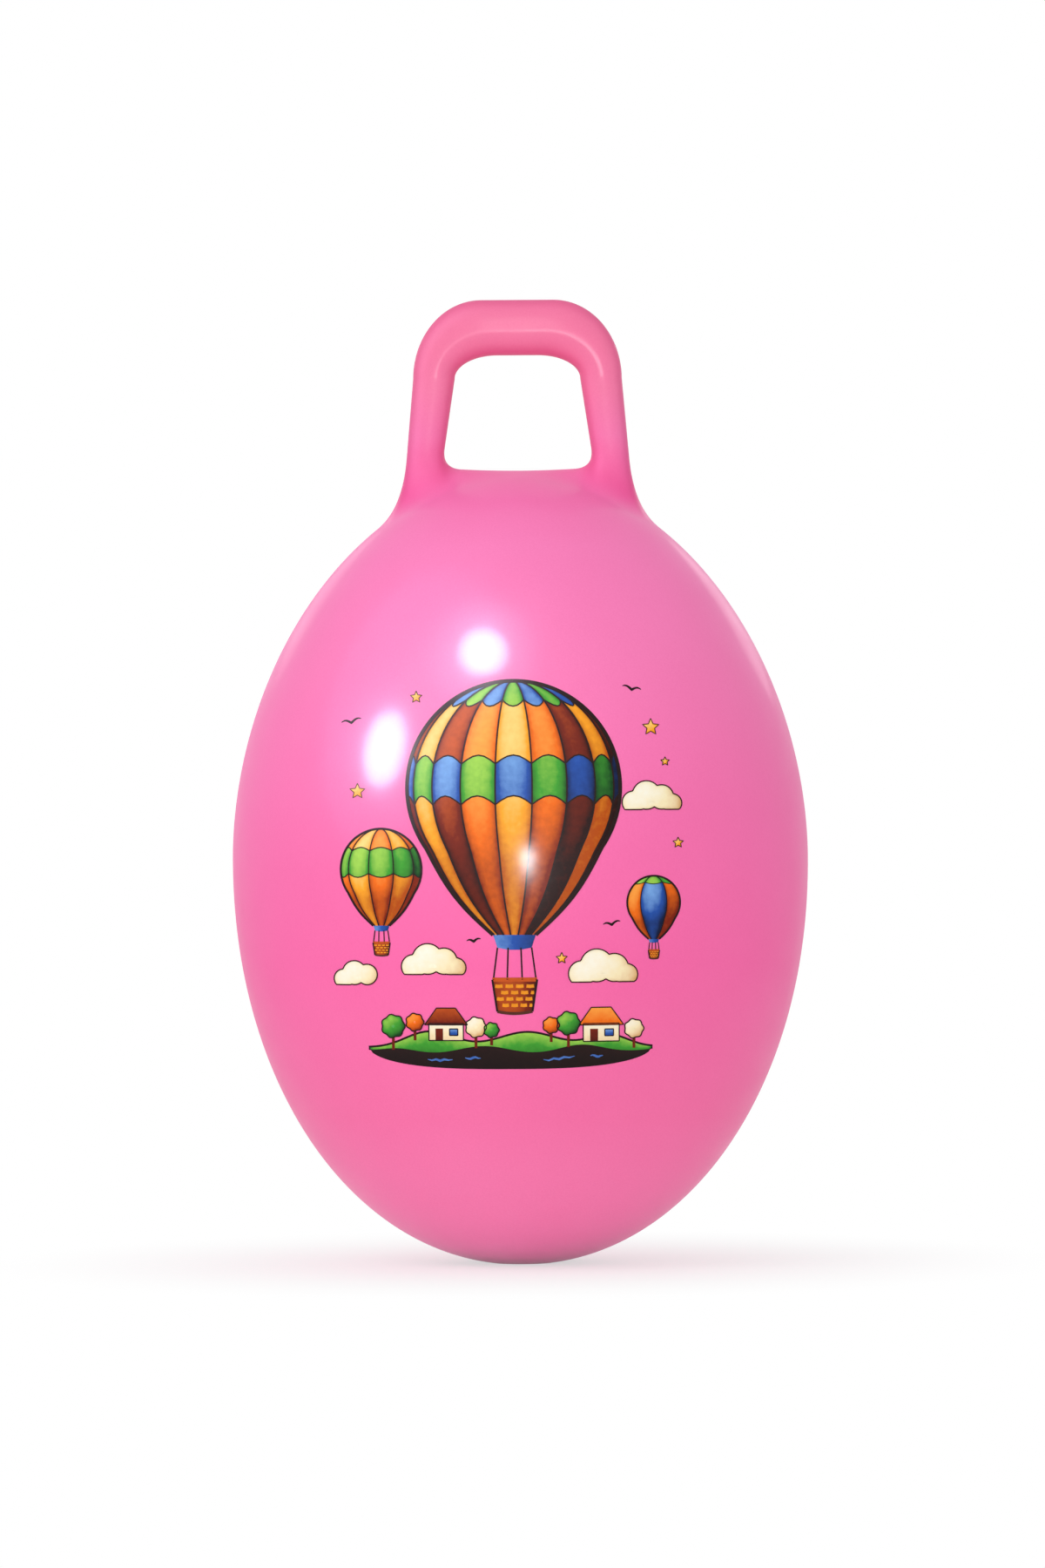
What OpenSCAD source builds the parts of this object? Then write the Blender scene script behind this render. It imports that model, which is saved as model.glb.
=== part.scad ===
/* [Ball] */
// Diameter of the ball at its widest line
ball_d = 380; // [300:5:500]
// Height of the ball from the floor to its crown, without the handle
ball_h = 521; // [440:1:620]
// Height of the widest line above the floor
waist_h = 267; // [230:1:300]
// Diameter of the flattened patch that the ball rests on
rest_d = 40; // [30:1:70]
// Thickness of the stretched skin of the ball
skin_t = 1.2; // [0.8:0.1:2.5]
// Shape power above the widest line: 2 is an ellipse, less is more pointed
crown_power = 1.92; // [1.8:0.02:2.1]
// Shape power below the widest line: 2 is an ellipse, more is fuller
base_power = 2.06; // [1.9:0.02:2.3]

/* [Handle] */
// Height of the top of the handle above the crown of the ball
loop_rise = 115; // [105:0.5:130]
// Height of the shoulders of the handle above the crown
shoulder_rise = 63; // [55:0.5:70]
// Width over the legs at the height of the crown
loop_base_w = 149; // [142:1:156]
// Width over the legs at the shoulders
loop_top_w = 138; // [132:1:144]
// Width of the hand opening at the height of the crown
gap_base_w = 102; // [90:1:104]
// Width of the hand opening at the shoulders
gap_top_w = 83; // [74:0.5:88]
// Thickness of the top bar, measured upwards
bar_t = 36.5; // [30:0.5:40]
// Front to back thickness of the top bar
bar_depth = 32; // [26:0.5:36]
// Front to back thickness of the legs
leg_depth = 28; // [23:0.5:32]
// Sideways run of the outer corner of the loop
outer_run = 45; // [36:1:50]
// Sideways run of the inner corner of the loop
inner_run = 28; // [20:1:32]
// Thickness of the wall of the handle, which the air stretches less than the ball
handle_t = 2.4; // [1.6:0.1:4]

/* [Handle feet] */
// Front to back width of the moulded foot on the crown
foot_w = 80; // [64:1:90]
// How far the flare of a foot runs out past its leg
flare_run = 17; // [12:0.5:22]
// How far the flare climbs the outside of the leg
flare_climb = 36; // [28:0.5:42]
// Size of the rounded corner between a leg and the saddle, inside the hand opening
inside_round = 13; // [8:0.5:15]
// Height of the saddle above the crown, halfway between the legs
saddle_rise = 2.2; // [1.5:0.1:4]
// Extra height of the saddle beside each leg
saddle_dip = 2; // [0:0.1:4]

/* [Valve] */
// Height of the centre of the valve above the floor, at the back
valve_h = 383; // [340:1:410]
// Diameter of the collar that shows round the plug
collar_d = 28; // [26:0.5:34]
// How far the collar stands off the skin
collar_t = 1.6; // [1.2:0.1:2.5]
// Diameter of the hole through the skin
skin_hole_d = 20; // [19:0.5:22]
// Diameter of the bonded flange inside the skin
flange_d = 30; // [26:0.5:34]
// Thickness of the bonded flange
flange_t = 1.8; // [1.4:0.1:2.5]
// Outer diameter of the neck that grips the plug
neck_d = 13; // [12:0.5:15]
// Length of the whole seat, from the outer face of its collar inwards
seat_l = 18; // [16:0.5:24]
// Bore that the plug seals in, and that takes the nozzle of a pump
valve_bore_d = 8.2; // [7:0.1:9]
// Diameter of the recess for the head of the plug
recess_d = 15.4; // [14.6:0.1:16.4]
// Depth of the recess for the head of the plug
recess_t = 2.4; // [1.8:0.1:2.8]
// Length of the stem of the plug
stem_l = 13; // [10:0.5:14]
// Number of sealing ribs on the stem of the plug
rib_count = 3; // [2:1:4]

/* [Hidden] */

// Finish colours
skin_pink = [0.96, 0.46, 0.68];
handle_pink = [0.97, 0.37, 0.60];
seat_pink = [0.90, 0.38, 0.58];
plug_white = [0.95, 0.95, 0.93];

// Counts of steps along and round the shapes
profile_steps = 32;
ball_fn = 128;
fine_fn = 64;
ring_points = 48;
corner_point = 17;
apron_steps = 3;
flare_steps = 6;
leg_steps = 3;
corner_steps = 6;
bar_steps = 2;
seat_steps = 7;

// Shape power of the section of the loop: 2 is an ellipse, more is squarer
tube_power = 2.5;

// Gaps between pieces, and how far a cut runs past a surface
bond_gap = 0.35;
seat_gap = 0.15;
head_gap = 0.3;
head_seat_gap = 0.05;
rib_gap = 0.05;
cut_over = 6;

// Small shapes: the foot's edge and saddle, the ports under the legs, the valve
foot_lip = 0.65;
foot_margin = 1;
port_d = 18;
rim_round = 0.8;
edge_round = 0.5;
stem_relief = 0.6;
dish_t = 0.7;
notch_d = 5;

function mix(a, b, t) = a + (b - a) * t;
function limited(t) = min(1, max(0, t));
function ease(t) = pow(limited(t), 2) * (3 - 2 * limited(t));
function round_share(v) = sign(v) * pow(abs(v), 2 / tube_power);

// The ball is a full ellipse below its waist, cut flat, and a slightly pointed one above it
ball_r = ball_d / 2;
crown_rise = ball_h - waist_h;
waist_drop = waist_h / pow(1 - pow(rest_d / ball_d, base_power), 1 / base_power);

function upper_point(angle, inset) = [
    (ball_r - inset) * pow(cos(angle), 2 / crown_power),
    waist_h + (crown_rise - inset) * pow(sin(angle), 2 / crown_power)
];
function lower_point(angle, inset) = [
    (ball_r - inset) * pow(cos(angle), 2 / base_power),
    waist_h - (waist_drop - inset) * pow(sin(angle), 2 / base_power)
];
function rest_angle(inset) =
    asin(pow((waist_h - inset) / (waist_drop - inset), base_power / 2));
function egg_outline(inset) = concat(
    [[0, inset]],
    [for (i = [0 : profile_steps - 1])
        lower_point(rest_angle(inset) * (1 - i / profile_steps), inset)],
    [for (i = [0 : profile_steps - 1]) upper_point(90 * i / profile_steps, inset)],
    [[0, ball_h - inset]]
);
function reversed(list) = [for (i = [len(list) - 1 : -1 : 0]) list[i]];

// Height of the skin over a place near the crown, and its radius at a height above the waist
function skin_z(x, y) =
    waist_h + crown_rise * pow(1 - pow(norm([x, y]) / ball_r, crown_power), 1 / crown_power);
function skin_r(z) =
    ball_r * pow(1 - pow((z - waist_h) / crown_rise, crown_power), 1 / crown_power);

// The legs of the loop, in its middle plane
shoulder_z = ball_h + shoulder_rise;
loop_top_z = ball_h + loop_rise;
function leg_outer_x(z) = mix(loop_base_w, loop_top_w, (z - ball_h) / shoulder_rise) / 2;
function leg_inner_x(z) = mix(gap_base_w, gap_top_w, (z - ball_h) / shoulder_rise) / 2;

// The foot's own surface: the skin, raised to a saddle between the legs. The saddle has a round
// back and falls to the front and the rear, first steeply and then more and more gently
function saddle_fall(t) = pow(1 - limited(t), 3) * (1 + 3 * limited(t));
function saddle_z(x) = ball_h + saddle_rise + saddle_dip * pow(2 * x / gap_base_w, 2);
function saddle_fade(x, y) =
    (1 - ease((2 * abs(x) - gap_base_w) / (loop_base_w - gap_base_w)))
    * saddle_fall(2 * abs(y) / foot_w);
function foot_z(x, y) =
    skin_z(x, y) + foot_lip + max(0, saddle_z(x) - skin_z(x, 0)) * saddle_fade(x, y);

// Where the walls of a leg, carried straight down, would meet the foot
leg_foot_out = leg_outer_x(skin_z(loop_base_w / 2, 0));
leg_foot_in = leg_inner_x(saddle_z(gap_base_w / 2));
leg_foot_x = (leg_foot_out + leg_foot_in) / 2;
leg_half_w = (leg_foot_out - leg_foot_in) / 2;
leg_half_d = leg_depth / 2;
leg_end_out_z = skin_z(leg_foot_out, 0) + flare_climb;
leg_end_in_z = saddle_z(leg_foot_in) + inside_round;

// Stations of the loop: inner point, outer point and front to back thickness
function leg_station(t) =
    let (
        in_z = mix(leg_end_in_z, shoulder_z, t),
        out_z = mix(leg_end_out_z, shoulder_z, t)
    )
    [[leg_inner_x(in_z), in_z], [leg_outer_x(out_z), out_z], leg_depth];
function corner_station(angle) = [
    [gap_top_w / 2 - inner_run * (1 - cos(angle)),
     mix(shoulder_z, loop_top_z - bar_t, sin(angle))],
    [loop_top_w / 2 - outer_run * (1 - cos(angle)),
     mix(shoulder_z, loop_top_z, sin(angle))],
    mix(leg_depth, bar_depth, sin(angle))
];
function bar_station(t) = [
    [(gap_top_w / 2 - inner_run) * t, loop_top_z - bar_t],
    [(loop_top_w / 2 - outer_run) * t, loop_top_z],
    bar_depth
];
half_loop = concat(
    [for (i = [0 : leg_steps - 1]) leg_station(i / leg_steps)],
    [for (i = [0 : corner_steps]) corner_station(90 * i / corner_steps)],
    [for (i = [bar_steps - 1 : -1 : 0]) bar_station(i / bar_steps)]
);

// A ring of points round a station, drawn in by the thickness of a wall
function ring(station, wall) =
    let (
        inner = station[0],
        outer = station[1],
        span = norm(outer - inner),
        reach = (outer - inner) / span * (span / 2 - wall),
        side = station[2] / 2 - wall
    )
    [for (j = [0 : ring_points - 1])
        let (
            a = 360 * j / ring_points,
            p = (inner + outer) / 2 + reach * round_share(cos(a))
        )
        [p[0], side * round_share(sin(a)), p[1]]];

// A ring on plan round the leg, grown by a run outwards, inwards and to the sides
function plan_ring(run_out, run_in, run_side) = [
    for (j = [0 : ring_points - 1])
        let (
            a = 360 * j / ring_points,
            run = cos(a) > 0 ? run_out : run_in
        )
        [leg_foot_x + (leg_half_w + run) * round_share(cos(a)),
         (leg_half_d + run_side) * round_share(sin(a))]
];

// The outline of half the foot on plan: round outside, and straight where the halves meet
quarter_point = ring_points / 4;
function straight_edge(j) =
    j <= corner_point
    ? [leg_foot_x * (corner_point - j) / (corner_point - quarter_point), foot_w / 2]
    : [0, foot_w / 2 * (ring_points / 2 - j) / (ring_points / 2 - corner_point)];
foot_edge = [
    for (j = [0 : ring_points - 1])
        let (
            k = j > ring_points / 2 ? ring_points - j : j,
            a = 360 * k / ring_points,
            p = k <= quarter_point
                ? [leg_foot_x + (leg_half_w + flare_run + foot_margin) * round_share(cos(a)),
                   foot_w / 2 * round_share(sin(a))]
                : straight_edge(k)
        )
        [p[0], j > ring_points / 2 ? -p[1] : p[1]]
];

leg_ring = ring(half_loop[0], 0);
leg_plan = plan_ring(0, 0, 0);
flare_plan = plan_ring(flare_run, inside_round, foot_w / 2 - foot_margin - leg_half_d);
hollow_plan = plan_ring(-handle_t, -handle_t, -handle_t);

// The flare curves from the foot's surface up to the leg, as a height over that surface
function on_foot(p, height) = [p[0], p[1], foot_z(p[0], p[1]) + height];
function flare_ring(t) = [
    for (j = [0 : ring_points - 1])
        let (
            top = leg_ring[j],
            drop = top[2] - foot_z(top[0], top[1]),
            p = pow(1 - t, 2) * flare_plan[j]
                + 2 * t * (1 - t) * leg_plan[j]
                + pow(t, 2) * [top[0], top[1]]
        )
        on_foot(p, drop * pow(t, 2))
];
function apron_ring(t) = [
    for (j = [0 : ring_points - 1]) on_foot(mix(foot_edge[j], flare_plan[j], t), 0)
];
function seat_ring(t) = [
    for (j = [0 : ring_points - 1])
        let (p = mix(hollow_plan[j], foot_edge[j], t))
        [p[0], p[1], skin_z(p[0], p[1]) + bond_gap]
];

// Rings of half the handle: outside from foot to bar, hollow from bar to foot, underside
outside_rings = concat(
    [for (i = [0 : apron_steps - 1]) apron_ring(i / apron_steps)],
    [for (i = [0 : flare_steps - 1]) flare_ring(i / flare_steps)],
    [for (station = half_loop) ring(station, 0)]
);
hollow_rings = [for (station = reversed(half_loop)) ring(station, handle_t)];
under_rings = [for (i = [0 : seat_steps]) seat_ring(i / seat_steps)];
half_rings = concat(outside_rings, hollow_rings, under_rings);
half_points = [for (r = half_rings) each r];

// Two triangles between neighbouring points of two rings
function patch(low, high, j) =
    let (
        k = (j + 1) % ring_points,
        a = low * ring_points + j,
        b = low * ring_points + k,
        c = high * ring_points + k,
        d = high * ring_points + j
    )
    [[a, b, c], [a, c, d]];
function on_middle(j) =
    let (k = (j + 1) % ring_points)
    foot_edge[j][0] == 0 && foot_edge[k][0] == 0;
half_faces = concat(
    [for (i = [0 : len(half_rings) - 2], j = [0 : ring_points - 1])
        if (i != len(outside_rings) - 1) each patch(i, i + 1, j)],
    [for (j = [0 : ring_points - 1])
        if (!on_middle(j)) each patch(len(half_rings) - 1, 0, j)]
);
mirrored_points = [for (p = half_points) [p[0] == 0 ? 0 : -p[0], p[1], p[2]]];
mirrored_faces = [
    for (f = half_faces) [for (i = reversed(f)) i + len(half_points)]
];

// The valve stands square to the skin at the back of the ball
valve_y = skin_r(valve_h);
valve_tilt = atan2(
    pow((valve_h - waist_h) / crown_rise, crown_power - 1) / crown_rise,
    pow(valve_y / ball_r, crown_power - 1) / ball_r
);
// Mean bend of the skin there: tighter round the ball than up and down
skin_bend_r = (valve_y / cos(valve_tilt) + crown_rise) / 2;
function bend(r) = pow(r, 2) / (2 * skin_bend_r);

collar_r = collar_d / 2;
body_r = skin_hole_d / 2 - seat_gap;
flange_r = flange_d / 2;
neck_r = neck_d / 2;
bore_r = valve_bore_d / 2;
recess_r = recess_d / 2;
recess_z = collar_t - recess_t;
flange_top_z = -skin_t - seat_gap;

function arc(centre, radius, from, to) = [
    for (i = [0 : 4])
        let (a = mix(from, to, i / 4))
        centre + radius * [cos(a), sin(a)]
];

module at_valve() {
    translate([0, valve_y, valve_h]) rotate([valve_tilt - 90, 0, 0]) children();
}

module ball_shell() {
    color(skin_pink)
        difference() {
            rotate_extrude($fn = ball_fn)
                polygon(concat(egg_outline(0), reversed(egg_outline(skin_t))));
            at_valve()
                cylinder(d = skin_hole_d, h = 2 * cut_over, center = true, $fn = fine_fn);
            for (side = [-1, 1])
                translate([side * leg_foot_x, 0, skin_z(leg_foot_x, 0)])
                    cylinder(d = port_d, h = 2 * cut_over, center = true, $fn = fine_fn);
        }
}

module handle() {
    color(handle_pink)
        polyhedron(
            points = concat(half_points, mirrored_points),
            faces = concat(half_faces, mirrored_faces)
        );
}

module valve_seat() {
    seat_outline = concat(
        [[bore_r, recess_z], [recess_r, recess_z], [recess_r, collar_t - edge_round / 2],
         [recess_r + edge_round / 2, collar_t]],
        reversed(arc([collar_r - rim_round, collar_t - rim_round], rim_round, 0, 90)),
        [[collar_r, seat_gap - bend(collar_r)], [body_r, seat_gap - bend(body_r)],
         [body_r, flange_top_z - bend(body_r)], [flange_r, flange_top_z - bend(flange_r)],
         [flange_r, flange_top_z - bend(flange_r) - flange_t / 2],
         [neck_r + flange_t, flange_top_z - flange_t],
         [neck_r, flange_top_z - 2 * flange_t],
         [neck_r, collar_t - seat_l], [bore_r, collar_t - seat_l]]
    );
    color(seat_pink)
        at_valve()
            difference() {
                rotate_extrude($fn = fine_fn) polygon(seat_outline);
                translate([0, -recess_r, recess_z + recess_t / 2])
                    cylinder(d = notch_d, h = recess_t, $fn = fine_fn);
            }
}

module valve_plug() {
    head_r = recess_r - head_gap;
    head_low_z = recess_z + head_seat_gap;
    head_top_z = collar_t;
    stem_r = bore_r - stem_relief;
    rib_r = bore_r - rib_gap;
    pitch = stem_l / (rib_count + 1);
    ribs = [
        for (i = [rib_count : -1 : 1])
            let (z = head_low_z - pitch * i)
            each [[stem_r, z - pitch / 2], [rib_r, z], [rib_r, z + pitch / 4],
                  [stem_r, z + pitch / 4]]
    ];
    plug_outline = concat(
        [[0, head_low_z - stem_l], [stem_r - edge_round, head_low_z - stem_l],
         [stem_r, head_low_z - stem_l + edge_round]],
        ribs,
        [[stem_r, head_low_z], [head_r - edge_round, head_low_z],
         [head_r, head_low_z + edge_round]],
        arc([head_r - edge_round, head_top_z - edge_round], edge_round, 0, 90),
        [[head_r - 3 * edge_round, head_top_z], [stem_r, head_top_z - dish_t],
         [0, head_top_z - dish_t]]
    );
    color(plug_white)
        at_valve()
            rotate_extrude($fn = fine_fn) polygon(plug_outline);
}

ball_shell();
handle();
valve_seat();
valve_plug();
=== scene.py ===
import math

import bpy
import numpy as np
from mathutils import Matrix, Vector


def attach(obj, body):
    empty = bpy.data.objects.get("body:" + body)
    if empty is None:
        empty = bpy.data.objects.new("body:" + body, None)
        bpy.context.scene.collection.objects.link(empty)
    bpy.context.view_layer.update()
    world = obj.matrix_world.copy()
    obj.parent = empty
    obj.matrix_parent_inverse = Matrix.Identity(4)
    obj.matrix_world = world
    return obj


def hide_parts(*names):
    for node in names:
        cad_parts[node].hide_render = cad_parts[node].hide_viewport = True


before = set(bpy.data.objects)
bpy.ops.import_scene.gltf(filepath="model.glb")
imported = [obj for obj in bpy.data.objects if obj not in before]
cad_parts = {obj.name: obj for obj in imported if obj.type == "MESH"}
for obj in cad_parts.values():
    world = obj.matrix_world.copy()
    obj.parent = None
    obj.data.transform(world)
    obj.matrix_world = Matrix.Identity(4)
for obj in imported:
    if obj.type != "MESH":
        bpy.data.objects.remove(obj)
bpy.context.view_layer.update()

MM = 0.001

# Sizes of the skin, the same as in the part's source. A power says how square a curve is.
BALL_R = 190.0
BALL_H = 521.0
WAIST_H = 267.0
REST_R = 20.0
CROWN_POWER = 1.92
BASE_POWER = 2.06

# The loop of the handle
LOOP_RISE = 115.0
SHOULDER_RISE = 63.0
LOOP_BASE_W = 149.0
LOOP_TOP_W = 138.0
GAP_BASE_W = 102.0
GAP_TOP_W = 83.0
BAR_T = 36.5
BAR_DEPTH = 32.0
LEG_DEPTH = 28.0
OUTER_RUN = 45.0
INNER_RUN = 28.0
TUBE_POWER = 2.5

# Its feet, and the saddle between them
FOOT_HALF = 40.0
FOOT_MARGIN = 1.0
FLARE_RUN = 17.0
FLARE_CLIMB = 36.0
INSIDE_ROUND = 13.0
SADDLE_RISE = 2.2
SADDLE_DIP = 2.0

# Walls and valve
SKIN_T = 1.2
HANDLE_T = 2.4
VALVE_H = 383.0
VALVE_HOLE_R = 10.0
COLLAR_R = 14.0

CROWN_RISE = BALL_H - WAIST_H
WAIST_DROP = WAIST_H / (1 - (REST_R / BALL_R) ** BASE_POWER) ** (1 / BASE_POWER)
SHOULDER_Z = BALL_H + SHOULDER_RISE
LOOP_TOP_Z = BALL_H + LOOP_RISE


# Shapes of the skin


def mix(a, b, t):
    return a + (b - a) * t


def ease(t):
    t = np.clip(t, 0, 1)
    return t * t * (3 - 2 * t)


def unit(v):
    """The same directions with a length of one."""
    return v / np.maximum(np.linalg.norm(v, axis=-1, keepdims=True), 1e-12)


def round_share(v):
    return np.sign(v) * np.abs(v) ** (2 / TUBE_POWER)


def skin_z(x, y):
    """Height of the ball's skin over a place on plan, above the waist."""
    out = np.hypot(x, y) / BALL_R
    return WAIST_H + CROWN_RISE * (1 - out**CROWN_POWER) ** (1 / CROWN_POWER)


def half_shape(z):
    """Shape power and reach of the half of the ball, upper or lower, that a height is in."""
    above = np.asarray(z) >= WAIST_H
    return np.where(above, CROWN_POWER, BASE_POWER), np.where(above, CROWN_RISE, WAIST_DROP)


def skin_r(z):
    power, reach = half_shape(z)
    return BALL_R * (1 - (np.abs(z - WAIST_H) / reach) ** power) ** (1 / power)


def skin_normal(points):
    """Outward direction of the ball's skin at points on it."""
    x, y, z = np.moveaxis(np.asarray(points, float), -1, 0)
    power, reach = half_shape(z)
    r = np.maximum(np.hypot(x, y), 1e-6)
    out = (r / BALL_R) ** (power - 1) / BALL_R
    up = np.sign(z - WAIST_H) * (np.abs(z - WAIST_H) / reach) ** (power - 1) / reach
    return unit(np.stack([x / r * out, y / r * out, up], -1))


def leg_outer_x(z):
    return mix(LOOP_BASE_W, LOOP_TOP_W, (z - BALL_H) / SHOULDER_RISE) / 2


def leg_inner_x(z):
    return mix(GAP_BASE_W, GAP_TOP_W, (z - BALL_H) / SHOULDER_RISE) / 2


def saddle_z(x):
    return BALL_H + SADDLE_RISE + SADDLE_DIP * (2 * x / GAP_BASE_W) ** 2


def foot_z(x, y):
    """Height of the foot's own surface: the skin, raised to a saddle between the legs."""
    across = 1 - ease((2 * np.abs(x) - GAP_BASE_W) / (LOOP_BASE_W - GAP_BASE_W))
    t = np.clip(np.abs(y) / FOOT_HALF, 0, 1)
    deep = (1 - t) ** 3 * (1 + 3 * t)
    rise = np.maximum(0, saddle_z(x) - skin_z(x, 0 * x))
    return skin_z(x, y) + rise * across * deep


LEG_OUT = leg_outer_x(skin_z(LOOP_BASE_W / 2, 0))
LEG_IN = leg_inner_x(saddle_z(GAP_BASE_W / 2))
LEG_X = (LEG_OUT + LEG_IN) / 2
LEG_HALF_W = (LEG_OUT - LEG_IN) / 2
LEG_HALF_D = LEG_DEPTH / 2
LEG_END_OUT_Z = skin_z(LEG_OUT, 0) + FLARE_CLIMB
LEG_END_IN_Z = saddle_z(LEG_IN) + INSIDE_ROUND

# Columns round half of the handle, from its outer to its inner middle line. Those up to EDGE_STEP
# run on down the ball, and two more beside each middle line carry the mould's fine parting line.
HALF_STEPS = 64
EDGE_STEP = 44
QUARTER_STEP = HALF_STEPS // 2

# The parting line: its columns' places, or shares of the first step where that is less, its depth,
# and the heights between which it sets in
SEAM_PLACES = np.array([0.35, 0.8])
SEAM_SHARES = (0.35, 0.7)
SEAM_DIP = -0.16
SEAM_FADE_Z = (4.0, 14.0)

_steps = np.r_[0, 0, 0, np.arange(1, HALF_STEPS), HALF_STEPS, HALF_STEPS, HALF_STEPS]
_seams = np.r_[0, SEAM_PLACES, np.zeros(HALF_STEPS - 1), SEAM_PLACES[::-1], 0]
_lifts = np.r_[0, SEAM_DIP, np.zeros(HALF_STEPS + 1), SEAM_DIP, 0]
_round = np.r_[0 : len(_steps), len(_steps) - 2 : 0 : -1]
STEP = _steps[_round]
SEAM = _seams[_round]
LIFT = _lifts[_round]
SIDE = np.r_[np.ones(len(_steps)), -np.ones(len(_steps) - 2)]
ANGLE = np.pi * STEP / HALF_STEPS
FACING = np.where(STEP == HALF_STEPS, -1.0, 1.0)
EDGE_COLUMNS = EDGE_STEP + len(SEAM_PLACES)
OUTER = np.r_[-EDGE_COLUMNS : EDGE_COLUMNS + 1]

# From this share of a section's half width on, painted shade deepens the tone towards the parting line
FLANK_SHADE_START = 0.55


def painted_flank_shade():
    """Painted shade on the handle's flanks: 1 along its outer and inner middle lines, 0 on its front and
    back.
    """
    wide = np.abs(round_share(np.cos(ANGLE)))
    return ease((wide - FLANK_SHADE_START) / (1 - FLANK_SHADE_START))


def section(half_depth):
    """Each column's share of a section's half width and half depth."""
    near = SEAM / half_depth
    deep = np.where(SEAM > 0, near, round_share(np.sin(ANGLE)))
    seam_wide = FACING * (1 - near**TUBE_POWER) ** (1 / TUBE_POWER)
    return np.where(SEAM > 0, seam_wide, round_share(np.cos(ANGLE))), SIDE * deep


def loop_ring(station):
    """A ring of points round the loop at a station: inner point, outer point and depth."""
    inner, outer, depth = np.array(station[0]), np.array(station[1]), station[2]
    wide, deep = section(depth / 2)
    middle = (inner + outer) / 2 + (outer - inner) / 2 * wide[:, None]
    return np.stack([middle[:, 0], depth / 2 * deep, middle[:, 1]], -1)


def plan_ring(run_out, run_in, run_side):
    wide, deep = section(LEG_HALF_D + run_side)
    run = np.where(wide > 0, run_out, run_in)
    return np.stack([LEG_X + (LEG_HALF_W + run) * wide, (LEG_HALF_D + run_side) * deep], -1)


def foot_edge():
    """The outline of half the foot: round outside, and straight where the two halves meet."""
    wide, deep = section(FOOT_HALF)
    x_round = LEG_X + (LEG_HALF_W + FLARE_RUN + FOOT_MARGIN) * wide
    x_side = LEG_X * (EDGE_STEP - STEP) / (EDGE_STEP - QUARTER_STEP)
    y_middle = SIDE * FOOT_HALF * (HALF_STEPS - STEP) / (HALF_STEPS - EDGE_STEP)
    y_middle = np.where(SEAM > 0, SIDE * SEAM, y_middle)
    x = np.where(STEP <= QUARTER_STEP, x_round, np.where(STEP <= EDGE_STEP, x_side, 0))
    y = np.where(STEP <= QUARTER_STEP, FOOT_HALF * deep, SIDE * FOOT_HALF)
    return np.stack([x, np.where(STEP > EDGE_STEP, y_middle, y)], -1)


def leg_station(t):
    in_z = mix(LEG_END_IN_Z, SHOULDER_Z, t)
    out_z = mix(LEG_END_OUT_Z, SHOULDER_Z, t)
    return (leg_inner_x(in_z), in_z), (leg_outer_x(out_z), out_z), LEG_DEPTH


def corner_station(a):
    side = 1 - math.cos(a)
    up = math.sin(a)
    inner = GAP_TOP_W / 2 - INNER_RUN * side, mix(SHOULDER_Z, LOOP_TOP_Z - BAR_T, up)
    outer = LOOP_TOP_W / 2 - OUTER_RUN * side, mix(SHOULDER_Z, LOOP_TOP_Z, up)
    return inner, outer, mix(LEG_DEPTH, BAR_DEPTH, up)


def bar_station(t):
    inner = (GAP_TOP_W / 2 - INNER_RUN) * t, LOOP_TOP_Z - BAR_T
    outer = (LOOP_TOP_W / 2 - OUTER_RUN) * t, LOOP_TOP_Z
    return inner, outer, BAR_DEPTH


def on_foot(plan, height=0.0):
    x, y = plan.T
    return np.stack([x, y, foot_z(x, y) + height], -1)


APRON_STEPS = 12
FLARE_STEPS = 26
LEG_STEPS = 12
CORNER_STEPS = 28
BAR_STEPS = 8
# Over these steps of the flare, the skin takes on the handle's own tone
OWN_TONE_STEPS = 17


def half_handle():
    """Rings of half the handle, from the edge of its foot to the middle of its bar."""
    stations = [leg_station(i / LEG_STEPS) for i in range(LEG_STEPS)]
    stations += [corner_station(math.pi / 2 * i / CORNER_STEPS) for i in range(CORNER_STEPS + 1)]
    stations += [bar_station(i / BAR_STEPS) for i in range(BAR_STEPS - 1, -1, -1)]
    top = loop_ring(stations[0])
    leg_plan = plan_ring(0, 0, 0)
    flare_plan = plan_ring(FLARE_RUN, INSIDE_ROUND, FOOT_HALF - FOOT_MARGIN - LEG_HALF_D)
    edge = foot_edge()
    rings = [on_foot(mix(edge, flare_plan, i / APRON_STEPS)) for i in range(APRON_STEPS)]
    climb = top[:, 2] - foot_z(top[:, 0], top[:, 1])
    for i in range(FLARE_STEPS):
        t = i / FLARE_STEPS
        plan = (1 - t) ** 2 * flare_plan + 2 * t * (1 - t) * leg_plan + t**2 * top[:, :2]
        rings.append(on_foot(plan, climb * t**2))
    rings += [loop_ring(station) for station in stations]
    return np.array(rings)


# Rings of the ball: radii on its flat patch, counts in its lower and its upper half, and from
# MORPH_Z up the count in which circles turn into the outline of the foot
CAP_RADII = (0.0, 4.0, 8.0, 12.0, 16.0, 19.0)
LOWER_STEPS = 62
UPPER_STEPS = 46
MORPH_STEPS = 15
MORPH_Z = 456.0


def ball_plan(r):
    """A circle on plan in the columns that run on into the outline of the foot."""
    first = np.sin(np.pi / 2 / EDGE_STEP)
    step, seam, side = STEP[OUTER], SEAM[OUTER], SIDE[OUTER]
    share = np.where(seam == SEAM_PLACES[0], *SEAM_SHARES)
    turn = side * np.pi / 2 * step / EDGE_STEP
    y = np.where(seam > 0, side * np.minimum(seam, share * r * first), r * np.sin(turn))
    x = np.where(seam > 0, np.sqrt(np.maximum(r * r - y * y, 0)), r * np.cos(turn))
    return both_halves(np.stack([x, y], -1))


def both_halves(right):
    """A closed ring from its right half: the left half is its mirror image."""
    left = right[-2:0:-1].copy()
    left[:, 0] *= -1
    return np.concatenate([right, left])


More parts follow.
